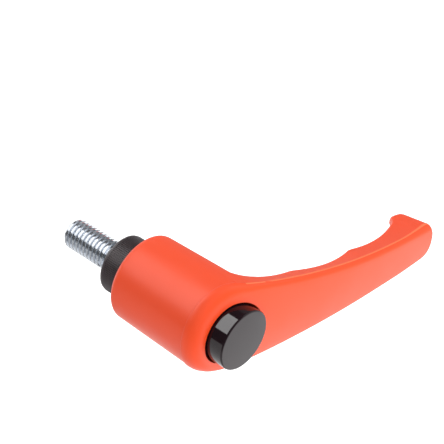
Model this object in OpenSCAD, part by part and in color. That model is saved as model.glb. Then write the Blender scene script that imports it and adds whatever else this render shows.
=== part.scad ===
// Adjustable clamping lever with push button, toothed insert and threaded stud.
// Millimetres. The origin is on the stud's axis at its seating face.
// +Z points to the push button and +X along the arm.

/* [Stud] */
// Thread diameter of the stud
stud_d = 8; // [6:0.5:9]
// Length of the stud below its seating face
stud_length = 16.7; // [8:0.1:60]
// Chamfer at the stud's free end
stud_chamfer = 1; // [0.4:0.1:1.6]
// Diameter of the stud's boss
boss_d = 11.1; // [10:0.1:12.5]
// Height of the boss's seating face outside the collar
boss_proud = 0.5; // [0.2:0.1:1]
// Length of the boss inside the insert
boss_depth = 9; // [7:0.5:12]
// Chamfer round the boss's seating face
boss_chamfer = 0.35; // [0.1:0.05:0.5]

/* [Insert] */
// Diameter of the collar over its serrations
collar_d = 15.8; // [14:0.1:17]
// Length of the collar that shows below the hub
collar_length = 6.9; // [4:0.1:12]
// Number of serrations round the collar
serration_count = 96; // [48:12:120]
// Depth of the serrations
serration_depth = 0.28; // [0.1:0.02:0.5]
// Plain band at the collar's end
collar_band = 0.9; // [0.4:0.1:2]
// Chamfer of the plain band
band_chamfer = 0.4; // [0.1:0.1:0.6]
// Diameter of the locking ring over its teeth
ring_d = 17.7; // [17:0.1:18.2]
// Height of the locking ring
ring_height = 5; // [4:0.2:7]
// Depth of the locking ring below the hub's mouth
ring_recess = 0.5; // [0.2:0.1:1.5]
// Number of locking teeth
tooth_count = 48; // [24:12:72]
// Depth of the locking teeth
tooth_depth = 0.6; // [0.3:0.05:0.8]
// Diameter of the guide bush above the locking ring
bush_d = 13.8; // [12:0.1:15]
// Length of the guide bush
bush_length = 9.5; // [8:0.5:12]

/* [Hub] */
// Diameter of the hub at its mouth
hub_mouth_d = 23.3; // [22:0.1:26]
// Growth of the hub's radius for each millimetre of height
hub_taper = 0.027; // [0:0.001:0.05]
// Height of the hub on its axis
hub_height = 31.6; // [30:0.1:40]
// Rounding of the hub's mouth edge
mouth_round = 1.8; // [0.5:0.1:2]
// Depth of the plain mouth below the hub's teeth
mouth_depth = 1.6; // [1:0.1:3]
// Thickness of the web under the spring
web = 2.5; // [1.5:0.1:4]
// Rounding of the top edge at the back of the hub
hub_top_round = 3; // [1.5:0.1:3.5]

/* [Arm] */
// Reach of the arm from the axis to the tip
arm_reach = 76.6; // [60:0.1:95]
// Rise of the arm's crest over the hub's top
arm_rise = 4.5; // [1:0.1:8]
// Distance from the axis to the arm's crest
crest_x = 46.5; // [40:0.5:55]
// Fall of the arm's top from its crest to the tip
tip_fall = 1.3; // [0.5:0.1:3]
// Power of the arch on both sides of its crest
arch_power = 2; // [1.8:0.1:3]
// Radius of the crowned top across the arm
crown_radius = 41; // [25:1:120]
// Half width of the arm next to the tip
tip_half_width = 5.5; // [4:0.1:6.5]
// Length of the rounded end of the tip
tip_cap = 5.2; // [3:0.1:6]
// Angle from the hub's side at which the arm's edge leaves the hub
leave_angle = 9.8; // [8:0.1:14]
// Rounding of the arm's top edge
edge_round = 1.3; // [0.6:0.1:1.6]
// Rounding of the top edge at the tip
tip_round = 2; // [1:0.1:2.5]
// Lean of each side wall from the top edge to the rim, at the hub
root_lean = 1; // [0.6:0.05:1.6]
// Lean of each side wall from the top edge to the rim, at the tip
tip_lean = 1.15; // [0.1:0.05:1.5]
// Rounding of the rim
rim_round = 0.6; // [0.2:0.1:0.8]
// Step of the parting line along the top edge
parting_step = 0.07; // [0.03:0.01:0.12]
// Height of the parting line's slope
parting_height = 0.2; // [0.1:0.05:0.4]

/* [Finger grooves] */
// Depth of the rim under the crest at the first finger bump
bump_a_drop = 7.8; // [6:0.1:10]
// Distance from the axis to the first finger bump
bump_a_x = 22.8; // [20:0.2:26]
// Depth of the rim under the crest at the second finger bump
bump_b_drop = 7.4; // [6:0.1:10]
// Distance from the axis to the second finger bump
bump_b_x = 46; // [42:0.2:50]
// Hollow of each finger groove
groove_hollow = 1.8; // [0.5:0.1:3]
// Depth of the rim under the crest where the hook starts
hook_root_drop = 10.2; // [8:0.1:11]
// Length of the hook along the arm
hook_length = 8.2; // [6:0.1:12]
// Height of the hook under its root
hook_height = 2.3; // [1:0.1:4]
// Rounding of the rim at the end of the hook
hook_round = 2; // [0.6:0.1:2.4]
// Height of the fillet from the arm's rim down the hub
fillet_height = 11; // [6:0.5:13]

/* [Pocket] */
// Thickness of the arm's side walls
arm_wall = 1.7; // [1.2:0.1:2.2]
// Thickness of the arm's top
arm_top = 2.3; // [1.6:0.1:3]
// Thickness of the arm's end behind the hook
tip_wall = 3.8; // [2.5:0.1:6]
// Rounding along the pocket's floor
pocket_round = 0.9; // [0.4:0.1:1.2]

/* [Button] */
// Diameter of the push button
button_d = 16.3; // [14:0.1:17]
// Height of the button's face above the hub's top on the axis
button_rise = 3.1; // [2:0.1:5]
// Height of the button's cap
button_height = 11.5; // [9:0.5:12.5]
// Wall of the button
button_wall = 1.5; // [1:0.1:2]
// Rounding of the button's face edge
button_round = 0.45; // [0.2:0.05:0.8]

/* [Screw and spring] */
// Thread diameter of the retaining screw
screw_d = 5; // [4:0.5:5]
// Length of the screw's thread in the stud's boss
screw_grip = 7; // [4:0.5:8]
// Diameter of the screw's head
head_d = 8.5; // [7.5:0.1:9]
// Height of the screw's head
head_height = 3.5; // [2.5:0.1:4]
// Width of the drive slot
slot_width = 1.2; // [0.8:0.1:1.6]
// Depth of the drive slot
slot_depth = 1.6; // [1:0.1:2]
// Wire diameter of the spring
wire_d = 0.9; // [0.6:0.05:1]
// Mean diameter of the spring's coil
coil_d = 7; // [6.6:0.1:7.2]
// Number of turns of the spring
coil_turns = 4.75; // [4:0.25:5]
// Length of the fitted spring
spring_length = 9; // [8:0.5:10]

/* [Clearances] */
// Radial gap of the guide bush in the hub
guide_gap = 0.05; // [0.02:0.01:0.1]
// Gap on every side of the locking teeth
tooth_gap = 0.1; // [0.05:0.01:0.2]
// Radial gap round the button
button_gap = 0.45; // [0.3:0.05:0.6]
// Radial gap of the screw in the web and the insert
screw_gap = 0.3; // [0.1:0.05:0.5]
// Gap between faces that only rest on each other
rest_gap = 0.05; // [0.02:0.01:0.1]

/* [Hidden] */

// Fineness of curved faces and of the lofted arm
round_fn = 96;
hub_steps = 22;
tip_steps = 9;
round_steps = 5;
rim_steps = 4;
crown_steps = 5;
arm_step = 1.3;
fillet_step = 0.7;
wire_sides = 8;
rings_per_turn = 18;

// Small overlap that makes cuts run clean through
cut = 1;

// Heights along the axis, from the seating face up
collar_z = boss_proud;
mouth_z = collar_z + collar_length;
ring_z = mouth_z + ring_recess;
ring_top = ring_z + ring_height;
teeth_z = mouth_z + mouth_depth;
shoulder_z = ring_top + 0.5;
bush_top = ring_top + bush_length;
web_z = bush_top + rest_gap;
web_top = web_z + web;
head_z = web_top + spring_length;
head_top = head_z + head_height;
hub_top = mouth_z + hub_height;
button_top = hub_top + button_rise;
button_base = button_top - button_height;
boss_top = boss_depth;
screw_tip = boss_top - screw_grip;
crest_z = hub_top + arm_rise;

// Radii
mouth_r = hub_mouth_d/2;
bore_r = bush_d/2 + guide_gap;
hole_r = button_d/2 + button_gap;
screw_r = screw_d/2;
thread_r = screw_r + rest_gap;

function hub_r(z) = mouth_r + hub_taper*(z - mouth_z);
function ramp(v) = let (c = min(max(v, 0), 1)) c*c*(3 - 2*c);
function power(v, p) = pow(max(v, 0), p);

// The plan outline: the hub's arc, the concave edge that leaves it at a tangent, and the rounded tip
cap_r = hub_r(hub_top - hub_top_round) + parting_step;
leave_x = cap_r*sin(leave_angle);
leave_y = cap_r*cos(leave_angle);
tip_x = arm_reach - tip_cap;
edge_power = tan(leave_angle)*(tip_x - leave_x)/(leave_y - tip_half_width);
tip_power = 2.4;
function along(x) = 1 - (x - leave_x)/(tip_x - leave_x);
function half_width(x) = tip_half_width + (leave_y - tip_half_width)*power(along(x), edge_power);
function edge_slope(x) = -tan(leave_angle)*power(along(x), edge_power - 1);

// Outline stations from the back of the hub to the tip: [x, y, inward normal x, inward normal y, on the hub]
function hub_station(a) = [cap_r*cos(a), cap_r*sin(a), -cos(a), -sin(a), true];
function arm_station(x) =
    let (slope = edge_slope(x), size = norm([slope, 1]))
    [x, half_width(x), slope/size, -1/size, false];
function tip_station(a) =
    let (
        across = power(sin(a), 2/tip_power),
        side = power(cos(a), 2/tip_power),
        normal = [
            -power(across, tip_power - 1)/tip_cap,
            -power(side, tip_power - 1)/tip_half_width
        ]
    )
    [tip_x + tip_cap*across, tip_half_width*side, normal.x/norm(normal), normal.y/norm(normal), false];

fillet_x = 5.5;
fillet_end = 10.5;
open_stations = [
    for (i = [1:hub_steps]) hub_station(180 - i*(90 + leave_angle)/hub_steps),
    for (x = [leave_x + fillet_step:fillet_step:fillet_end]) arm_station(x),
    for (x = [fillet_end + arm_step:arm_step:tip_x - arm_step/2]) arm_station(x),
    for (i = [0:tip_steps - 1]) tip_station(i*90/tip_steps)
];
back_station = hub_station(180);
end_station = tip_station(90);

// Heights of the arched and crowned top, of its edge and of the rim of the side walls
function arch_z(x) =
    let (
        drop = x < crest_x ? arm_rise : tip_fall,
        span = x < crest_x ? crest_x : arm_reach - crest_x
    )
    crest_z - drop*power(abs(crest_x - x)/span, arch_power);
function top_z(p) = arch_z(p.x) - p.y*p.y/(2*crown_radius);
function top_round(x) =
    edge_round
    + (hub_top_round - edge_round)*(1 - ramp((x + cap_r)/(2*cap_r)))
    + (tip_round - edge_round)*ramp((x - tip_x + 2*tip_cap)/(3*tip_cap));
function edge_z(s) = top_z(s) - top_round(s.x);

bump_a_z = crest_z - bump_a_drop;
bump_b_z = crest_z - bump_b_drop;
hook_root_z = crest_z - hook_root_drop;
hook_root_x = arm_reach - hook_length;
hook_mid_x = arm_reach - hook_length/2;
fillet_power = 2.4;
hook_power = 2.2;
function mix(a, b, t) = a + (b - a)*t;
function quarter(v, p) = 1 - power(1 - power(v, p), 1/p);
function groove(x, xa, za, xb, zb) =
    let (t = (x - xa)/(xb - xa))
    mix(za, zb, t) + groove_hollow*4*t*(1 - t);
function hub_groove(x) =
    bump_a_z - fillet_height*quarter(min((bump_a_x - x)/(bump_a_x - fillet_x), 1), fillet_power);
function hook_rim(x) =
    let (reach = max(hook_mid_x - x, 0)/(hook_mid_x - hook_root_x))
    hook_root_z - hook_height*(1 - quarter(min(reach, 1), hook_power));
function rim_z(x) =
    x < bump_a_x ? hub_groove(x)
    : x < bump_b_x ? groove(x, bump_a_x, bump_a_z, bump_b_x, bump_b_z)
    : x < hook_root_x ? groove(x, bump_b_x, bump_b_z, hook_root_x, hook_root_z)
    : hook_rim(x);

// One column of the shell, from the rim up the side wall, over the top edge's rounding
function inset(s, d) = [s.x + s[2]*d, s.y + s[3]*d];
function lift(p, z) = [p.x, p.y, z];
function rim_lean(x) = mix(root_lean, tip_lean, x/arm_reach);
function rim_r(x) = mix(rim_round, hook_round, ramp((x - hook_root_x)/(hook_mid_x - hook_root_x)));
function wall_column(s) =
    let (
        high = edge_z(s),
        low = s[4] ? high - 3*parting_height : rim_z(s.x),
        lean = s[4] ? 0 : rim_lean(s.x),
        r = s[4] ? parting_height : rim_r(s.x),
        step = s[4] ? 0 : parting_step*ramp((s.x - leave_x)/cap_r),
        slope = lean/(high - low)
    )
    [
        for (j = [0:rim_steps])
            let (b = 90*j/rim_steps, z = low + r*(1 - cos(b)))
            lift(inset(s, slope*(high - z) + step + r*(1 - sin(b))), z),
        lift(inset(s, slope*parting_height + step), high - parting_height)
    ];
function edge_column(s) =
    let (r = top_round(s.x))
    [
        for (j = [0:round_steps])
            let (b = 90*j/round_steps, p = inset(s, r*(1 - cos(b))))
            lift(p, top_z(p) - r*(1 - sin(b)))
    ];
function column(s) = concat(wall_column(s), edge_column(s));
function crown_row(s) =
    let (p = inset(s, top_round(s.x)))
    [
        for (k = [1:2*crown_steps - 1])
            let (q = [p.x, p.y*(1 - k/crown_steps)])
            lift(q, top_z(q))
    ];
function mirrored(points) = [for (p = points) [p.x, -p.y, p.z]];
function reversed(points) = [for (i = [len(points) - 1:-1:0]) points[i]];

// A ring across the arm: up one side, over the crown, down the other side
function arm_ring(s) = concat(column(s), crown_row(s), reversed(mirrored(column(s))));
// An end ring on the middle plane, pulled to a hair's width so that the loft closes
end_width = 0.3;
function end_ring(s) =
    let (
        side = [for (p = column(s)) [p.x, end_width, p.z]],
        last = side[len(side) - 1]
    )
    concat(
        side,
        [for (k = [1:2*crown_steps - 1]) [last.x, end_width*(1 - k/crown_steps), last.z]],
        reversed(mirrored(side))
    );

// Skins rings that have the same number of points, and closes both ends by strips and one face over the rest
module loft(rings, strips = 0) {
    size = len(rings[0]);
    count = len(rings);
    points = [for (ring = rings, p = ring) p];
    sides = [
        for (i = [0:count - 2], j = [0:size - 1])
            let (
                k = (j + 1)%size,
                a = i*size + j,
                b = i*size + k,
                c = a + size,
                d = b + size
            )
            each [[a, d, b], [a, c, d]]
    ];
    caps = concat(
        [for (j = [0:1:strips - 1]) [j, j + 1, size - 2 - j, size - 1 - j]],
        [[for (j = [strips:size - 1 - strips]) j]]
    );
    end = (count - 1)*size;
    ends = [for (face = caps) [for (i = [len(face) - 1:-1:0]) end + face[i]]];
    polyhedron(points = points, faces = concat(sides, caps, ends));
}

module arm_shell() {
    rings = concat(
        [end_ring(back_station)],
        [for (s = open_stations) arm_ring(s)],
        [end_ring(end_station)]
    );
    loft(rings, len(column(back_station)) - 2);
}

// The pocket under the arm: walls beside the side walls, a rounded floor under the top, open below
pocket_start = 6;
pocket_end = arm_reach - tip_wall;
pocket_cap = 4;
pocket_open = 1.2;
pocket_steps = 4;
function pocket_narrowing(x) =
    power(1 - power((x - pocket_end + pocket_cap)/pocket_cap, tip_power), 1/tip_power);
function pocket_ring(x) =
    let (
        s = arm_station(min(x, tip_x)),
        high = edge_z(s),
        low = rim_z(x),
        narrow = pocket_narrowing(x),
        wide = (s.y - arm_wall)*narrow,
        floor_z = min(top_z([x, s.y]), top_z([x, 0]) - edge_round) - arm_top + edge_round,
        lean = rim_lean(x)/(high - low)*narrow,
        base = rim_z(x) - pocket_open,
        r = pocket_round*narrow
    )
    concat(
        [[x, wide - lean*(high - base), base]],
        [
            for (j = [0:pocket_steps])
                let (b = 90*j/pocket_steps, z = floor_z - r*(1 - sin(b)))
                [x, wide - lean*(high - z) - r*(1 - cos(b)), z]
        ]
    );
module pocket() {
    straight = [for (x = [pocket_start:arm_step:pocket_end - pocket_cap]) x];
    rounded = [for (i = [0:tip_steps]) pocket_end - pocket_cap*(1 - sin(i*80/tip_steps))];
    loft([
        for (x = concat(straight, rounded))
            let (half = pocket_ring(x))
            concat(half, reversed(mirrored(half)))
    ]);
}

// The hub: a turned blank cut along the top edge, and higher inside the arm to close the pocket
core_reach = pocket_start - arm_wall/2;
function core_z(x) = top_z(arm_station(x)) - arm_top/3;
module hub_blank() {
    seam = [for (s = open_stations) if (s[4]) [s.x, edge_z(s)]];
    seam_end = seam[len(seam) - 1].y;
    far = 2*cap_r;
    intersection() {
        rotate_extrude($fn = round_fn)
            union() {
                polygon([
                    [0, mouth_z],
                    [mouth_r - mouth_round, mouth_z],
                    [mouth_r - mouth_round, mouth_z + mouth_round],
                    [mouth_r, mouth_z + mouth_round],
                    [hub_r(crest_z), crest_z],
                    [0, crest_z]
                ]);
                translate([mouth_r - mouth_round, mouth_z + mouth_round])
                    circle(r = mouth_round, $fn = round_fn);
            }
        rotate([90, 0, 0])
            translate([0, 0, -far])
            linear_extrude(height = 2*far)
            polygon(concat(
                [[far, core_z(cap_r)], [far, 0], [-far, 0], [-far, seam[0].y]],
                seam,
                [[core_reach, seam_end], [core_reach, core_z(core_reach)], [cap_r, core_z(cap_r)]]
            ));
    }
}

// A ring of straight teeth, with the same share of the pitch for tips and roots
tip_share = 0.3;
tooth_corners = [[-1, 0.5 - tip_share/2], [-1, tip_share/2], [1, tip_share/2], [1, 0.5 - tip_share/2]];
function toothed_outline(count, root_r, tip_r, widen) = [
    for (i = [0:count - 1], e = tooth_corners)
        let (
            at_tip = e[1] < 0.25,
            r = at_tip ? tip_r : root_r,
            a = 360/count*(i + e[0]*e[1]) + e[0]*widen/r*180/PI
        )
        [r*cos(a), r*sin(a)]
];

module lever_body() {
    color([1, 0.36, 0.18])
    difference() {
        union() {
            difference() {
                arm_shell();
                pocket();
            }
            hub_blank();
        }
        translate([0, 0, mouth_z - cut])
            cylinder(h = mouth_depth + cut, d = ring_d + 4*tooth_gap, $fn = round_fn);
        translate([0, 0, teeth_z - cut])
            linear_extrude(height = shoulder_z - teeth_z + cut)
            polygon(toothed_outline(
                tooth_count,
                ring_d/2 - tooth_depth + tooth_gap,
                ring_d/2 + tooth_gap,
                tooth_gap
            ));
        translate([0, 0, shoulder_z - cut])
            cylinder(h = web_z - shoulder_z + cut, r = bore_r, $fn = round_fn);
        translate([0, 0, web_z - cut])
            cylinder(h = web + 2*cut, r = screw_r + screw_gap, $fn = round_fn);
        translate([0, 0, web_top])
            cylinder(h = hub_height, r = hole_r, $fn = round_fn);
    }
}

module threaded_stud() {
    color([0.78, 0.8, 0.82])
    difference() {
        rotate_extrude($fn = round_fn)
            polygon([
                [0, -stud_length],
                [stud_d/2 - stud_chamfer, -stud_length],
                [stud_d/2, -stud_length + stud_chamfer],
                [stud_d/2, 0],
                [boss_d/2 - boss_chamfer, 0],
                [boss_d/2, boss_chamfer],
                [boss_d/2, boss_top],
                [0, boss_top]
            ]);
        translate([0, 0, screw_tip - rest_gap])
            cylinder(h = boss_depth, r = thread_r, $fn = round_fn);
    }
}

module toothed_insert() {
    serration_r = collar_d/2;
    band_r = serration_r - serration_depth/2;
    color([0.1, 0.1, 0.11])
    difference() {
        union() {
            translate([0, 0, collar_z + collar_band])
                linear_extrude(height = ring_z - collar_z - collar_band)
                polygon(toothed_outline(serration_count, serration_r - serration_depth, serration_r, 0));
            rotate_extrude($fn = round_fn)
                polygon([
                    [0, collar_z],
                    [band_r - band_chamfer, collar_z],
                    [band_r, collar_z + band_chamfer],
                    [band_r, collar_z + collar_band],
                    [0, collar_z + collar_band]
                ]);
            translate([0, 0, ring_z])
                linear_extrude(height = ring_height)
                polygon(toothed_outline(tooth_count, ring_d/2 - tooth_depth, ring_d/2, 0));
            translate([0, 0, ring_top])
                cylinder(h = bush_length, d = bush_d, $fn = round_fn);
        }
        translate([0, 0, collar_z - cut])
            cylinder(h = boss_top - collar_z + cut, d = boss_d, $fn = round_fn);
        translate([0, 0, boss_top - cut])
            cylinder(h = bush_top - boss_top + 2*cut, r = screw_r + screw_gap, $fn = round_fn);
    }
}

module retaining_screw() {
    color([0.55, 0.56, 0.58])
    difference() {
        union() {
            translate([0, 0, screw_tip])
                cylinder(h = head_z - screw_tip, r = screw_r, $fn = round_fn);
            translate([0, 0, head_z])
                cylinder(h = head_height, d = head_d, $fn = round_fn);
        }
        translate([-head_d/2 - cut, -slot_width/2, head_top - slot_depth])
            cube([head_d + 2*cut, slot_width, slot_depth + cut]);
    }
}

module push_button() {
    outer_r = button_d/2;
    sleeve_r = head_d/2 + rest_gap;
    sleeve_z = head_z - cut;
    inner_r = outer_r - button_wall;
    ceiling_z = button_top - button_wall;
    color([0.09, 0.09, 0.1])
    difference() {
        rotate_extrude($fn = round_fn)
            union() {
                translate([0, button_base])
                    square([outer_r, button_height - button_round]);
                translate([0, button_base])
                    square([outer_r - button_round, button_height]);
                translate([outer_r - button_round, button_top - button_round])
                    circle(r = button_round, $fn = round_fn);
            }
        rotate_extrude($fn = round_fn)
            translate([sleeve_r + button_wall, button_base - cut])
            square([inner_r - sleeve_r - button_wall, ceiling_z - button_base + cut]);
        translate([0, 0, head_z - 2*cut])
            cylinder(h = head_height + 2*cut, r = sleeve_r, $fn = round_fn);
        translate([0, 0, button_base - cut])
            cylinder(h = sleeve_z - button_base + cut, r = inner_r, $fn = round_fn);
    }
}

// Compression spring with closed end turns
closed_turns = 1;
spring_base = web_top + rest_gap;
spring_rise = spring_length - 2*rest_gap - wire_d;
open_pitch = (spring_rise - 2*closed_turns*wire_d)/(coil_turns - 2*closed_turns);
function coil_rise(t) =
    t < closed_turns ? t*wire_d
    : t > coil_turns - closed_turns ? spring_rise - (coil_turns - t)*wire_d
    : closed_turns*wire_d + (t - closed_turns)*open_pitch;
function coil_ring(t) = [
    for (i = [0:wire_sides - 1])
        let (
            b = 360*i/wire_sides,
            r = coil_d/2 + wire_d/2*cos(b),
            z = spring_base + wire_d/2 + coil_rise(t) + wire_d/2*sin(b)
        )
        [r*cos(360*t), r*sin(360*t), z]
];
module return_spring() {
    rings = round(coil_turns*rings_per_turn);
    color([0.6, 0.6, 0.62])
    loft([for (i = [rings:-1:0]) coil_ring(i*coil_turns/rings)]);
}

threaded_stud();
toothed_insert();
retaining_screw();
return_spring();
push_button();
lever_body();
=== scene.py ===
"""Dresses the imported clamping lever: orange body, black button and insert, threaded stud and studio stage."""

import math

import bmesh
import bpy
from bpy.props import FloatProperty, FloatVectorProperty, IntProperty, PointerProperty
from mathutils import Matrix, Vector


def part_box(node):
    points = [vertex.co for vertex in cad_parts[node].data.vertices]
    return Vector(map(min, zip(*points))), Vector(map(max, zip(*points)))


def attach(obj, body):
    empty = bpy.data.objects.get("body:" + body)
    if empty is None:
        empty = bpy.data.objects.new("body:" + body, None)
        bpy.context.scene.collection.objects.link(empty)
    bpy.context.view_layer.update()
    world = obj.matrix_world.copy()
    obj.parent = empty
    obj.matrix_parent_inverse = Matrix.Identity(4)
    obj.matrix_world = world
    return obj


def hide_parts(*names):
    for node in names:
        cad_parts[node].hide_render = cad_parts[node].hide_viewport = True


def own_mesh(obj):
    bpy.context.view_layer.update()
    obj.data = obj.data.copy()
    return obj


bl_info = {
    "name": "Clamping Lever",
    "version": (1, 0, 0),
    "blender": (4, 5, 0),
    "location": "3D View > Sidebar > Lever",
    "description": "Adjustable clamping lever with push button, toothed insert and threaded stud",
    "category": "Object",
}

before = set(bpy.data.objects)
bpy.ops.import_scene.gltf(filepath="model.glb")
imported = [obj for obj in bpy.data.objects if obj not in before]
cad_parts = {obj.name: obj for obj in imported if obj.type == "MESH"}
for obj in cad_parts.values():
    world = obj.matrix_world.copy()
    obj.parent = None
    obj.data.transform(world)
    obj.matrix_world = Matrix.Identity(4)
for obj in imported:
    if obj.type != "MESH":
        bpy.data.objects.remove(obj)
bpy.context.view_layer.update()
MM = 0.001
STUD_LOW, STUD_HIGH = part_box("threaded_stud")
SEAT_HEIGHT = 0.0
MERGE_DISTANCE = 0.002 * MM
NARROW_FACE = 0.8 * MM
# Steepest angle between faces that still shade as one: most pieces, collar, thread and spring
SMOOTH_ANGLE = math.radians(32)
SERRATION_ANGLE = math.radians(20)
THREAD_ANGLE = math.radians(30)
WIRE_ANGLE = math.radians(60)
LAMP_DISTANCE = 0.9
FLOOR_HALF_WIDTH = 6
# The dim room that reflections see: its radius in metres, and its half angle round the line to the camera
ROOM_RADIUS = 1.5
ROOM_HALF_ANGLE = math.radians(68)
# Range that most values of a noise lie in
NOISE_LOW, NOISE_HIGH = 0.3, 0.7
# Depths below the collar's crests, in shares of its grooves: where the painted shade begins, where it is
# darkest with colour and gloss gone, past the grooves
SHADE_BEGINS, SHADE_DARKEST, PAST_GROOVES = 0.03, 0.25, 1.1
# Share of colour and gloss that the insert's faces inside the collar's grooves keep
INNER_COLOUR_AND_GLOSS = 0.5
# Shares of the pitch that the thread's root, its rising flank and its crest take
ROOT_SHARE, FLANK_SHARE, CREST_SHARE = 0.28, 0.16, 0.4
# Length of the plain neck under the boss, in lengths of the thread's run-out
NECK_IN_RUN_OUTS = 0.6
# Upward lean beyond which a face counts as part of the arm's rounded top edge
FACES_UP = 0.02
# Forward lean beyond which a face counts as part of the arm's tip
FACES_TIP = 0.5
# Downward lean of the small step at the parting line, at most and at least
STEP_STEEPEST, STEP_FLATTEST = -0.6, -0.1
# Cosine between two faces that are triangles of one facet
SAME_FACET = 0.997
# Cards that only reflections see: name, sweep in degrees round the axis, radius, heights in metres, glow
CARDS = [
    ("flag_far", (57, 90), 0.36, (-0.3, 0.06), 0.12),
    ("flag_high", (-50, 57), 0.36, (-0.3, 0.06), 0.3),
    ("flag_edge", (-50, 57), 0.1, (-0.3, -0.08), 0.75),
    ("flag_near", (153, 192), 0.2, (-0.3, 0.0), 0.12),
    ("flag_low", (192, 300), 0.2, (-0.3, -0.115), 0.52),
]
# The card whose bright patch shows in the button's side; the stage sets its glow
BRIGHT_CARD = ("bright_strip", (90, 153), 0.3, (-0.15, -0.094))


class LeverThread(bpy.types.PropertyGroup):
    """Sizes of the stud's thread and of its boss."""

    pitch: FloatProperty(
        name="Pitch",
        description="Rise of the thread in one turn",
        default=1.25 * MM,
        unit="LENGTH",
    )
    crest_radius: FloatProperty(
        name="Crest radius",
        description="Outer radius of the thread",
        default=4.0 * MM,
        unit="LENGTH",
    )
    depth: FloatProperty(
        name="Depth",
        description="Depth of the thread from crest to root",
        default=0.5 * MM,
        unit="LENGTH",
    )
    neck_radius: FloatProperty(
        name="Neck radius",
        description="Radius of the plain neck under the boss",
        default=3.62 * MM,
        unit="LENGTH",
    )
    end_chamfer: FloatProperty(
        name="End chamfer",
        description="Chamfer at the stud's free end",
        default=0.9 * MM,
        unit="LENGTH",
    )
    run_out: FloatProperty(
        name="Run-out",
        description="Length over which the thread fades below the boss",
        default=1.6 * MM,
        unit="LENGTH",
    )
    turn_steps: IntProperty(name="Steps", description="Steps in one turn of the thread", default=72)
    boss_chamfer: FloatProperty(
        name="Boss chamfer",
        description="Chamfer round the boss's seating face",
        default=0.35 * MM,
        unit="LENGTH",
    )


class LeverFinish(bpy.types.PropertyGroup):
    """Colours of the lever's materials, and two small heights that their shading needs."""

    orange: FloatVectorProperty(
        name="Orange",
        description="Colour of the moulded body",
        size=3,
        subtype="COLOR",
        default=(0.96, 0.074, 0.010),
    )
    orange_deep: FloatVectorProperty(
        name="Deep orange",
        description="Darker flow marks in the body",
        size=3,
        subtype="COLOR",
        default=(0.94, 0.068, 0.0085),
    )
    black: FloatVectorProperty(
        name="Black",
        description="Colour of the button",
        size=3,
        subtype="COLOR",
        default=(0.009, 0.0035, 0.0055),
    )
    charcoal: FloatVectorProperty(
        name="Charcoal",
        description="Colour of the insert",
        size=3,
        subtype="COLOR",
        default=(0.085, 0.066, 0.073),
    )
    zinc: FloatVectorProperty(
        name="Zinc",
        description="Colour of the plated stud",
        size=3,
        subtype="COLOR",
        default=(0.7, 0.735, 0.79),
    )
    # Painted highlight: a paler colour put on the faces along the parting line, standing in for the line's
    # bright highlight
    parting: FloatVectorProperty(
        name="Parting line",
        description="Paler line where the mould halves meet",
        size=3,
        subtype="COLOR",
        default=(0.97, 0.185, 0.07),
    )
    # Also sets how far down the collar's grooves the painted shade reaches
    groove: FloatProperty(
        name="Groove depth",
        description="Depth of the collar's dark grooves",
        default=0.28 * MM,
        unit="LENGTH",
    )
    button_rim: FloatProperty(
        name="Button rim",
        description="Height of the rounded rim that the side's shading stops at",
        default=0.49 * MM,
        unit="LENGTH",
    )
    wire: FloatVectorProperty(
        name="Wire",
        description="Colour of the screw and the spring",
        size=3,
        subtype="COLOR",
        default=(0.42, 0.43, 0.45),
    )


class LeverStage(bpy.types.PropertyGroup):
    """Camera, floor and lights."""

    camera_place: FloatVectorProperty(
        name="Camera",
        description="Place of the camera",
        size=3,
        subtype="XYZ",
        default=(-0.33687, 0.28698, 0.28402),
    )
    camera_target: FloatVectorProperty(
        name="Target",
        description="Point the camera looks at",
        size=3,
        subtype="XYZ",
        default=(0.0303, 0.00398, 0.0067),
    )
    camera_roll: FloatProperty(
        name="Roll",
        description="Turn of the camera round its line of sight",
        default=math.radians(-121.07),
        unit="ROTATION",
    )
    lens: FloatProperty(name="Lens", description="Focal length in millimetres", default=170.2, unit="CAMERA")
    floor_glow: FloatProperty(
        name="Floor glow",
        description="How much the floor glows in the picture and in reflections",
        default=0.55,
    )
    room_glow: FloatProperty(
        name="Room glow",
        description="Glow of the dim room behind the camera in reflections",
        default=0.15,
    )
    floor_drop: FloatProperty(
        name="Floor drop",
        description="Distance from the stud's end down to the floor",
        default=0.3,
        unit="LENGTH",
    )
    fill: FloatProperty(
        name="Fill",
        description="Strength of the room's diffuse light",
        default=0.62,
    )
    strip: FloatProperty(
        name="Strip",
        description="Strength of the bright card that shows in the button",
        default=7.8,
    )
    front: FloatProperty(
        name="Front",
        description="Power of the softbox above the camera in watts",
        default=0.8,
        unit="POWER",
    )
    overhead: FloatProperty(
        name="Overhead",
        description="Power of the lamp over the arm's side in watts",
        default=2.75,
        unit="POWER",
    )
    above: FloatProperty(
        name="Above",
        description="Power of the lamp over the lever's top in watts",
        default=3.6,
        unit="POWER",
    )
    rim: FloatProperty(
        name="Rim",
        description="Power of the lamp on the hub's rim in watts",
        default=0.35,
        unit="POWER",
    )
    backdrop: FloatProperty(
        name="Backdrop",
        description="Power of the softbox on the backdrop in watts",
        default=3.0,
        unit="POWER",
    )


def finish_of():
    """The finishes that the scene holds."""
    return bpy.context.scene.lever_finish


def node(tree, kind, **values):
    """Adds a shader node and sets its properties and input sockets by name."""
    made = tree.nodes.new(kind)
    for name, value in values.items():
        if hasattr(made, name) and name not in made.inputs:
            setattr(made, name, value)
        else:
            made.inputs[name.replace("_", " ").title()].default_value = value
    return made


def new_material(name):
    """An empty node material with its surface shader and object coordinates."""
    material = bpy.data.materials.new(name)
    material.use_nodes = True
    tree = material.node_tree
    shader = tree.nodes["Principled BSDF"]
    place = tree.nodes.new("ShaderNodeTexCoord").outputs["Object"]
    return material, tree, shader, place


def noise(tree, place, scale, detail=3.0):
    """A noise value over the object's own coordinates."""
    made = node(tree, "ShaderNodeTexNoise", scale=scale, detail=detail)
    tree.links.new(place, made.inputs["Vector"])
    return made.outputs["Fac"]


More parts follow.
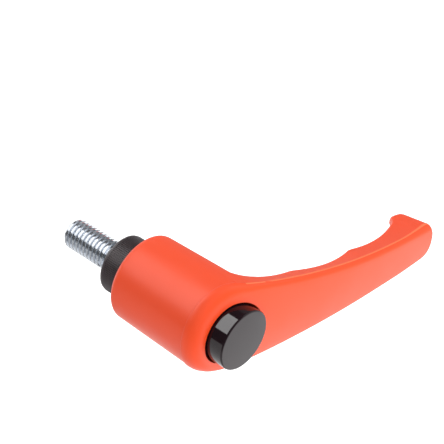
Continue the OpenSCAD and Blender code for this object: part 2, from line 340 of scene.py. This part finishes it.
def spread(tree, value, low, high):
    """Maps a noise value to a range of numbers."""
    made = node(tree, "ShaderNodeMapRange")
    made.inputs["From Min"].default_value = NOISE_LOW
    made.inputs["From Max"].default_value = NOISE_HIGH
    made.inputs["To Min"].default_value = low
    made.inputs["To Max"].default_value = high
    tree.links.new(value, made.inputs["Value"])
    return made.outputs["Result"]


def blend_colours(tree, value, low, high):
    """Mixes two colours by a value."""
    made = node(tree, "ShaderNodeMix", data_type="RGBA")
    made.inputs["A"].default_value = (*low, 1)
    made.inputs["B"].default_value = (*high, 1)
    tree.links.new(value, made.inputs["Factor"])
    return made.outputs["Result"]


def bump(tree, shader, value, strength, distance):
    """Turns a value into fine relief on the surface."""
    made = node(tree, "ShaderNodeBump", strength=strength, distance=distance)
    tree.links.new(value, made.inputs["Height"])
    tree.links.new(made.outputs["Normal"], shader.inputs["Normal"])


def moulded_orange():
    """Satin moulded plastic: a fine eroded grain, faint flow marks and a painted highlight along the parting
    line.
    """
    look = finish_of()
    material, tree, shader, place = new_material("moulded_orange")
    flow = noise(tree, place, 90.0)
    grain = noise(tree, place, 5200.0, 2.0)
    orange = blend_colours(tree, flow, look.orange_deep, look.orange)
    # Painted highlight: the faces marked along the parting line take the paler colour instead of the orange
    line = node(tree, "ShaderNodeAttribute", attribute_name="parting").outputs["Fac"]
    painted_highlight = node(tree, "ShaderNodeMix", data_type="RGBA")
    painted_highlight.inputs["B"].default_value = (*look.parting, 1)
    tree.links.new(line, painted_highlight.inputs["Factor"])
    tree.links.new(orange, painted_highlight.inputs["A"])
    tree.links.new(painted_highlight.outputs["Result"], shader.inputs["Base Color"])
    tree.links.new(spread(tree, flow, 0.36, 0.44), shader.inputs["Roughness"])
    shader.inputs["IOR"].default_value = 1.47
    bump(tree, shader, grain, 0.12, 0.04 * MM)
    return material


def polished_black():
    """Polished plastic of the button, with faint handling marks."""
    look = finish_of()
    material, tree, shader, place = new_material("polished_black")
    haze = noise(tree, place, 320.0)
    pale = [channel * 1.5 for channel in look.black]
    tree.links.new(blend_colours(tree, haze, look.black, pale), shader.inputs["Base Color"])
    tree.links.new(spread(tree, haze, 0.05, 0.09), shader.inputs["Roughness"])
    shader.inputs["IOR"].default_value = 1.38
    return material


def satin_charcoal():
    """Satin dark finish of the toothed insert, with a fine grain and painted shade that darkens colour and
    gloss down in the collar's grooves.
    """
    look = finish_of()
    material, tree, shader, place = new_material("satin_charcoal")
    grain = noise(tree, place, 2600.0)
    pale = [channel * 1.8 for channel in look.charcoal]
    shade = groove_shade(tree, place, look.groove)
    # Painted shade: the insert's colour is multiplied toward black down in the collar's grooves
    groove_shaded_colour = node(tree, "ShaderNodeMix", data_type="RGBA", blend_type="MULTIPLY")
    groove_shaded_colour.inputs["Factor"].default_value = 1.0
    tree.links.new(blend_colours(tree, grain, look.charcoal, pale), groove_shaded_colour.inputs["A"])
    tree.links.new(shade, groove_shaded_colour.inputs["B"])
    tree.links.new(groove_shaded_colour.outputs["Result"], shader.inputs["Base Color"])
    tree.links.new(spread(tree, grain, 0.34, 0.46), shader.inputs["Roughness"])
    tree.links.new(shade, shader.inputs["Specular IOR Level"])
    bump(tree, shader, grain, 0.15, 0.03 * MM)
    return material


def groove_shade(tree, place, depth):
    """Painted shade of the collar: full colour and gloss on the crests of its serrations, almost none down in
    the grooves.
    """
    flat = node(tree, "ShaderNodeVectorMath", operation="MULTIPLY")
    flat.inputs[1].default_value = (1, 1, 0)
    reach = node(tree, "ShaderNodeVectorMath", operation="LENGTH")
    tree.links.new(place, flat.inputs[0])
    tree.links.new(flat.outputs["Vector"], reach.inputs[0])
    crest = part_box("toothed_insert")[1].x
    rise = node(tree, "ShaderNodeMapRange")
    rise.inputs["From Min"].default_value = crest - depth * SHADE_DARKEST
    rise.inputs["From Max"].default_value = crest - depth * SHADE_BEGINS
    rise.inputs["To Min"].default_value = 0.0
    rise.inputs["To Max"].default_value = 1.0
    tree.links.new(reach.outputs["Value"], rise.inputs["Value"])
    inside = node(tree, "ShaderNodeMath", operation="LESS_THAN")
    inside.inputs[1].default_value = crest - depth * PAST_GROOVES
    tree.links.new(reach.outputs["Value"], inside.inputs[0])
    half = node(tree, "ShaderNodeMath", operation="MULTIPLY")
    half.inputs[1].default_value = INNER_COLOUR_AND_GLOSS
    tree.links.new(inside.outputs[0], half.inputs[0])
    either = node(tree, "ShaderNodeMath", operation="MAXIMUM")
    tree.links.new(rise.outputs["Result"], either.inputs[0])
    tree.links.new(half.outputs[0], either.inputs[1])
    return either.outputs[0]


def plated_zinc():
    """Bright zinc plate with a faint cloudy bloom and fine drawn lines."""
    look = finish_of()
    material, tree, shader, place = new_material("plated_zinc")
    cloud = noise(tree, place, 700.0)
    fine = noise(tree, place, 4200.0, 2.0)
    dull = [channel * 0.82 for channel in look.zinc]
    tree.links.new(blend_colours(tree, cloud, dull, look.zinc), shader.inputs["Base Color"])
    tree.links.new(spread(tree, cloud, 0.12, 0.22), shader.inputs["Roughness"])
    shader.inputs["Metallic"].default_value = 1.0
    bump(tree, shader, fine, 0.2, 0.03 * MM)
    return material


def drawn_steel():
    """Grey steel of the screw and the spring."""
    look = finish_of()
    material, tree, shader, place = new_material("drawn_steel")
    cloud = noise(tree, place, 900.0)
    dull = [channel * 0.75 for channel in look.wire]
    tree.links.new(blend_colours(tree, cloud, dull, look.wire), shader.inputs["Base Color"])
    tree.links.new(spread(tree, cloud, 0.28, 0.4), shader.inputs["Roughness"])
    shader.inputs["Metallic"].default_value = 1.0
    return material


def add_piece(name, bm, material, body, replaced, sharp_angle):
    """Makes an object of a bmesh, smooth up to an angle, that rides a body and stands for a solid."""
    for face in bm.faces:
        face.smooth = True
    for edge in bm.edges:
        edge.smooth = len(edge.link_faces) == 2 and edge.calc_face_angle(math.pi) < sharp_angle
    mesh = bpy.data.meshes.new(name)
    bm.to_mesh(mesh)
    bm.free()
    mesh.materials.append(material)
    piece = bpy.data.objects.new(name, mesh)
    bpy.context.scene.collection.objects.link(piece)
    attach(piece, body)
    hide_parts(replaced)
    return piece


def merged_solid(name):
    """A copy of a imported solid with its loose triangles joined."""
    bm = bmesh.new()
    bm.from_mesh(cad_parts[name].data)
    bmesh.ops.remove_doubles(bm, verts=bm.verts, dist=MERGE_DISTANCE)
    bmesh.ops.dissolve_degenerate(bm, edges=bm.edges, dist=0.001 * MM)
    return bm


def is_narrow(face):
    """Whether a face is as low as the facets of the arm's rounded edge."""
    heights = [vertex.co.z for vertex in face.verts]
    return max(heights) - min(heights) < NARROW_FACE


def mark_parting(bm):
    """Marks the first facets of the arm's rounded top edge, right above the parting line's small step, as the
    faces that get the painted highlight.
    """
    bm.normal_update()
    mark = bm.faces.layers.float.new("parting")
    strip = []
    for face in bm.faces:
        middle, normal = face.calc_center_median(), face.normal
        outward = normal.y * middle.y > 0 or normal.x > FACES_TIP
        leans_down = STEP_STEEPEST < normal.z < STEP_FLATTEST
        under_edge = any(other.normal.z > FACES_UP for edge in face.edges for other in edge.link_faces)
        if is_narrow(face) and outward and leans_down and under_edge:
            strip.append(face)
    neighbours = [other for face in strip for edge in face.edges for other in edge.link_faces]
    above = {other for other in neighbours if other.normal.z > FACES_UP}
    for face in above:
        face[mark] = 1.0
        for edge in face.edges:
            for other in edge.link_faces:
                if is_narrow(other) and other.normal.dot(face.normal) > SAME_FACET:
                    other[mark] = 1.0


class LEVER_OT_body(bpy.types.Operator):
    """Moulded lever body with its arched arm, hooked tip and hollow underside."""

    bl_idname = "lever.body"
    bl_label = "Lever Body"

    def execute(self, context):
        bm = merged_solid("lever_body")
        mark_parting(bm)
        add_piece("moulded_body", bm, moulded_orange(), "lever", "lever_body", SMOOTH_ANGLE)
        return {"FINISHED"}


class LEVER_OT_button(bpy.types.Operator):
    """Polished push button."""

    bl_idname = "lever.button"
    bl_label = "Push Button"

    def execute(self, context):
        bm = merged_solid("push_button")
        black = polished_black()
        bmesh.ops.dissolve_limit(bm, angle_limit=0.01, verts=bm.verts, edges=bm.edges)
        below_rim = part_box("push_button")[1].z - context.scene.lever_finish.button_rim
        bmesh.ops.bisect_plane(
            bm, geom=bm.verts[:] + bm.edges[:] + bm.faces[:], plane_co=(0, 0, below_rim), plane_no=(0, 0, 1)
        )
        add_piece("button_cap", bm, black, "stud_core", "push_button", SMOOTH_ANGLE)
        return {"FINISHED"}


class LEVER_OT_insert(bpy.types.Operator):
    """Toothed insert with its serrated collar."""

    bl_idname = "lever.insert"
    bl_label = "Toothed Insert"

    def execute(self, context):
        bm = merged_solid("toothed_insert")
        charcoal = satin_charcoal()
        add_piece(
            "serrated_insert", bm, charcoal, "stud_core", "toothed_insert", SERRATION_ANGLE
        )
        return {"FINISHED"}


class LEVER_OT_inner(bpy.types.Operator):
    """Retaining screw and return spring inside the hub."""

    bl_idname = "lever.inner"
    bl_label = "Screw and Spring"

    def execute(self, context):
        steel = drawn_steel()
        screw = merged_solid("retaining_screw")
        add_piece("screw", screw, steel, "stud_core", "retaining_screw", SMOOTH_ANGLE)
        coil = merged_solid("return_spring")
        wire = add_piece("coil_spring", coil, steel, "spring", "return_spring", WIRE_ANGLE)
        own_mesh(wire)
        return {"FINISHED"}


def clamp_radius(bm, limit):
    """Pulls every vertex in to the radius that limit(z) allows."""
    for vertex in bm.verts:
        reach = vertex.co.xy.length
        most = limit(vertex.co.z)
        if reach > most:
            vertex.co.x *= most / reach
            vertex.co.y *= most / reach


def fade_thread(bm, size, high):
    """Lets the thread run out into a plain neck just under the boss."""
    for vertex in bm.verts:
        share = min(max((vertex.co.z - high) / size.run_out + 1 + NECK_IN_RUN_OUTS, 0), 1)
        reach = vertex.co.xy.length
        if reach > 0:
            wanted = reach + (size.neck_radius - reach) * share
            vertex.co.x *= wanted / reach
            vertex.co.y *= wanted / reach


def threaded_rod(size, low, high):
    """A rod with a helical thread between two heights, chamfered at its lower end."""
    crest, root = size.crest_radius, size.crest_radius - size.depth
    flat, flank, tip = size.pitch * ROOT_SHARE, size.pitch * FLANK_SHARE, size.pitch * CREST_SHARE
    turns = math.ceil((high - low) / size.pitch) + 2
    start = low - size.pitch
    bm = bmesh.new()
    shoulder = flat + flank
    outline = [(root, 0), (root, flat), (crest, shoulder), (crest, shoulder + tip), (root, size.pitch)]
    points = [bm.verts.new((radius, 0, start + height)) for radius, height in outline]
    edges = [bm.edges.new(pair) for pair in zip(points, points[1:])]
    bmesh.ops.spin(
        bm,
        geom=points + edges,
        cent=(0, 0, 0),
        axis=(0, 0, 1),
        dvec=(0, 0, size.pitch / size.turn_steps),
        angle=math.tau * turns,
        steps=size.turn_steps * turns,
        use_merge=False,
    )
    bmesh.ops.remove_doubles(bm, verts=bm.verts, dist=MERGE_DISTANCE)
    for height, normal in ((low, (0, 0, -1)), (high, (0, 0, 1))):
        bmesh.ops.bisect_plane(
            bm,
            geom=bm.verts[:] + bm.edges[:] + bm.faces[:],
            plane_co=(0, 0, height),
            plane_no=normal,
            clear_outer=True,
        )
    clamp_radius(bm, lambda z: crest - size.end_chamfer + max(z - low, 0))
    fade_thread(bm, size, high)
    bmesh.ops.holes_fill(bm, edges=[edge for edge in bm.edges if edge.is_boundary])
    bmesh.ops.recalc_face_normals(bm, faces=bm.faces)
    return bm


def turned_boss(bm, size, low, high, radius):
    """Adds the stud's round boss, chamfered at its seating face."""
    chamfer = size.boss_chamfer
    outline = [(0, low), (radius - chamfer, low), (radius, low + chamfer), (radius, high), (0, high)]
    points = [bm.verts.new((reach, 0, height)) for reach, height in outline]
    edges = [bm.edges.new(pair) for pair in zip(points, points[1:])]
    bmesh.ops.spin(
        bm,
        geom=points + edges,
        cent=(0, 0, 0),
        axis=(0, 0, 1),
        dvec=(0, 0, 0),
        angle=math.tau,
        steps=size.turn_steps,
        use_merge=True,
    )


class LEVER_OT_stud(bpy.types.Operator):
    """Plated stud with its thread and boss."""

    bl_idname = "lever.stud"
    bl_label = "Threaded Stud"

    def execute(self, context):
        size = context.scene.lever_thread
        bm = threaded_rod(size, STUD_LOW.z, SEAT_HEIGHT + size.boss_chamfer)
        turned_boss(bm, size, SEAT_HEIGHT, STUD_HIGH.z, STUD_HIGH.x)
        bmesh.ops.remove_doubles(bm, verts=bm.verts, dist=MERGE_DISTANCE)
        bmesh.ops.recalc_face_normals(bm, faces=bm.faces)
        add_piece("plated_stud", bm, plated_zinc(), "stud_core", "threaded_stud", THREAD_ANGLE)
        return {"FINISHED"}


def area_light(name, place, target, size, power):
    """A rectangular softbox that faces the target, its length level with the floor."""
    data = bpy.data.lights.new(name, "AREA")
    data.shape = "RECTANGLE"
    data.size, data.size_y = size
    data.energy = power
    lamp = bpy.data.objects.new(name, data)
    lamp.location = place
    lamp.rotation_mode = "QUATERNION"
    lamp.rotation_quaternion = (Vector(place) - Vector(target)).to_track_quat("Z", "Y")
    lamp.visible_camera = False
    bpy.context.scene.collection.objects.link(lamp)
    return lamp


def stage_object(name, bm, material):
    """An object of the stage, such as the floor, that isn't part of the lever."""
    mesh = bpy.data.meshes.new(name)
    bm.to_mesh(mesh)
    bm.free()
    mesh.materials.append(material)
    made = bpy.data.objects.new(name, mesh)
    bpy.context.scene.collection.objects.link(made)
    return made


def direction(azimuth, elevation):
    """The unit vector at an angle round the lever's axis from its arm and an angle above the level plane."""
    a, e = math.radians(azimuth), math.radians(elevation)
    return Vector((math.cos(a) * math.cos(e), math.sin(a) * math.cos(e), math.sin(e)))


def seen_as_white(tree):
    """One for camera, glossy and transmission rays, so the background is white to the eye and in metal."""
    path = node(tree, "ShaderNodeLightPath")
    total = path.outputs["Is Camera Ray"]
    for name in ("Is Glossy Ray", "Is Transmission Ray"):
        larger = node(tree, "ShaderNodeMath", operation="MAXIMUM")
        tree.links.new(total, larger.inputs[0])
        tree.links.new(path.outputs[name], larger.inputs[1])
        total = larger.outputs[0]
    return total


class LEVER_OT_stage(bpy.types.Operator):
    """Camera at the photograph's angle, pale floor and soft studio light."""

    bl_idname = "lever.stage"
    bl_label = "Studio Stage"

    def execute(self, context):
        stage = context.scene.lever_stage
        scene = context.scene
        scene.view_settings.view_transform = "Standard"
        place, target = Vector(stage.camera_place), Vector(stage.camera_target)
        sight = (target - place).normalized()
        self.make_camera(scene, stage, place, sight)
        self.make_floor(stage)
        self.make_world(scene, stage)
        for card in CARDS:
            self.make_card(*card)
        self.make_card(*BRIGHT_CARD, stage.strip)
        self.make_room("dim_room", -sight, stage.room_glow)
        self.make_lights(stage, target)
        return {"FINISHED"}

    def make_camera(self, scene, stage, place, sight):
        """A camera at the photograph's angle."""
        data = bpy.data.cameras.new("camera")
        data.lens = stage.lens
        data.sensor_width = 36
        data.clip_end = 20
        camera = bpy.data.objects.new("camera", data)
        camera.location = place
        camera.rotation_mode = "QUATERNION"
        camera.rotation_quaternion = (
            Matrix.Rotation(stage.camera_roll, 3, sight).to_quaternion() @ sight.to_track_quat("-Z", "Y")
        )
        scene.collection.objects.link(camera)
        scene.camera = camera

    def make_lights(self, stage, target):
        """Two softboxes that show in glossy faces, and three lamps that only shed light."""

        def lamp(name, azimuth, elevation, size, power):
            place = target + direction(azimuth, elevation) * LAMP_DISTANCE
            return area_light(name, place, target, size, power)

        lamp("front_softbox", 121, 27, (0.95, 0.5), stage.front)
        lamp("backdrop_softbox", -40, 38, (0.9, 1.25), stage.backdrop)
        overhead = lamp("overhead_lamp", 64, 10, (0.6, 0.6), stage.overhead)
        above = lamp("above_lamp", 0, 90, (0.6, 0.6), stage.above)
        rim = lamp("rim_lamp", 175, 50, (0.4, 0.4), stage.rim)
        for unseen in (overhead, above, rim):
            unseen.visible_glossy = False

    def make_floor(self, stage):
        """A pale floor far under the lever, white in the picture."""
        bm = bmesh.new()
        bmesh.ops.create_grid(bm, x_segments=1, y_segments=1, size=FLOOR_HALF_WIDTH)
        bmesh.ops.translate(bm, verts=bm.verts, vec=(0, 0, STUD_LOW.z - stage.floor_drop))
        material, tree, shader, place = new_material("pale_floor")
        tone = noise(tree, place, 3.0)
        grey = blend_colours(tree, tone, (0.88, 0.88, 0.88), (0.92, 0.92, 0.92))
        tree.links.new(grey, shader.inputs["Base Color"])
        shader.inputs["Roughness"].default_value = 0.9
        glow = node(tree, "ShaderNodeMath", operation="MULTIPLY")
        glow.inputs[1].default_value = stage.floor_glow
        tree.links.new(seen_as_white(tree), glow.inputs[0])
        shader.inputs["Emission Color"].default_value = (1, 1, 1, 1)
        tree.links.new(glow.outputs[0], shader.inputs["Emission Strength"])
        stage_object("floor", bm, material)

    def make_card(self, name, sweep, radius, heights, glow):
        """A curved card that only reflections see, as a photographer sets one beside glossy things."""
        bm = bmesh.new()
        start, end = sweep
        reach = direction(start, 0) * radius
        points = [bm.verts.new((reach.x, reach.y, height)) for height in heights]
        edge = bm.edges.new(points)
        bmesh.ops.spin(
            bm,
            geom=points + [edge],
            cent=(0, 0, 0),
            axis=(0, 0, 1),
            dvec=(0, 0, 0),
            angle=math.radians(end - start),
            steps=24,
            use_merge=False,
        )
        self.show_in_reflections(name, bm, glow)

    def make_room(self, name, middle, glow):
        """The dim half of the studio behind the camera, as reflections see it."""
        bm = bmesh.new()
        bmesh.ops.create_icosphere(bm, subdivisions=4, radius=ROOM_RADIUS)
        edge = math.cos(ROOM_HALF_ANGLE)
        lit = [vertex for vertex in bm.verts if vertex.co.normalized().dot(middle) < edge]
        bmesh.ops.delete(bm, geom=lit, context="VERTS")
        self.show_in_reflections(name, bm, glow)

    def show_in_reflections(self, name, bm, glow):
        """An evenly glowing object that only glossy rays meet."""
        material, _, shader, _ = new_material(name)
        shader.inputs["Base Color"].default_value = (0.01, 0.01, 0.01, 1)
        shader.inputs["Roughness"].default_value = 1.0
        shader.inputs["Specular IOR Level"].default_value = 0.0
        shader.inputs["Emission Color"].default_value = (1, 1, 1, 1)
        shader.inputs["Emission Strength"].default_value = glow
        card = stage_object(name, bm, material)
        card.visible_camera = False
        card.visible_diffuse = False
        card.visible_shadow = False
        card.visible_transmission = False

    def make_world(self, scene, stage):
        """White for the camera and for reflections, softer for the light it sheds."""
        world = bpy.data.worlds.new("studio")
        scene.world = world
        world.use_nodes = True
        tree = world.node_tree
        room = tree.nodes["Background"]
        strength = node(tree, "ShaderNodeMapRange")
        strength.inputs["To Min"].default_value = stage.fill
        strength.inputs["To Max"].default_value = 1.0
        tree.links.new(seen_as_white(tree), strength.inputs["Value"])
        tree.links.new(strength.outputs["Result"], room.inputs["Strength"])
        room.inputs["Color"].default_value = (1, 1, 1, 1)


OPERATORS = [
    LEVER_OT_body,
    LEVER_OT_button,
    LEVER_OT_insert,
    LEVER_OT_inner,
    LEVER_OT_stud,
    LEVER_OT_stage,
]


class LEVER_PT_panel(bpy.types.Panel):
    """Sidebar panel that lists the lever's pieces and settings."""

    bl_label = "Clamping Lever"
    bl_idname = "LEVER_PT_panel"
    bl_space_type = "VIEW_3D"
    bl_region_type = "UI"
    bl_category = "Lever"

    def draw(self, context):
        for operator in OPERATORS:
            self.layout.operator(operator.bl_idname)
        for group in (context.scene.lever_thread, context.scene.lever_finish, context.scene.lever_stage):
            box = self.layout.box()
            for name in group.__annotations__:
                box.prop(group, name)


GROUPS = {"lever_thread": LeverThread, "lever_finish": LeverFinish, "lever_stage": LeverStage}


def register():
    for name, group in GROUPS.items():
        bpy.utils.register_class(group)
        setattr(bpy.types.Scene, name, PointerProperty(type=group))
    for cls in [*OPERATORS, LEVER_PT_panel]:
        bpy.utils.register_class(cls)


def unregister():
    for cls in reversed([*OPERATORS, LEVER_PT_panel]):
        bpy.utils.unregister_class(cls)
    for name, group in GROUPS.items():
        delattr(bpy.types.Scene, name)
        bpy.utils.unregister_class(group)


def main():
    register()
    bpy.ops.lever.body()
    bpy.ops.lever.button()
    bpy.ops.lever.insert()
    bpy.ops.lever.inner()
    bpy.ops.lever.stud()
    bpy.ops.lever.stage()


if __name__ == "__main__":
    main()
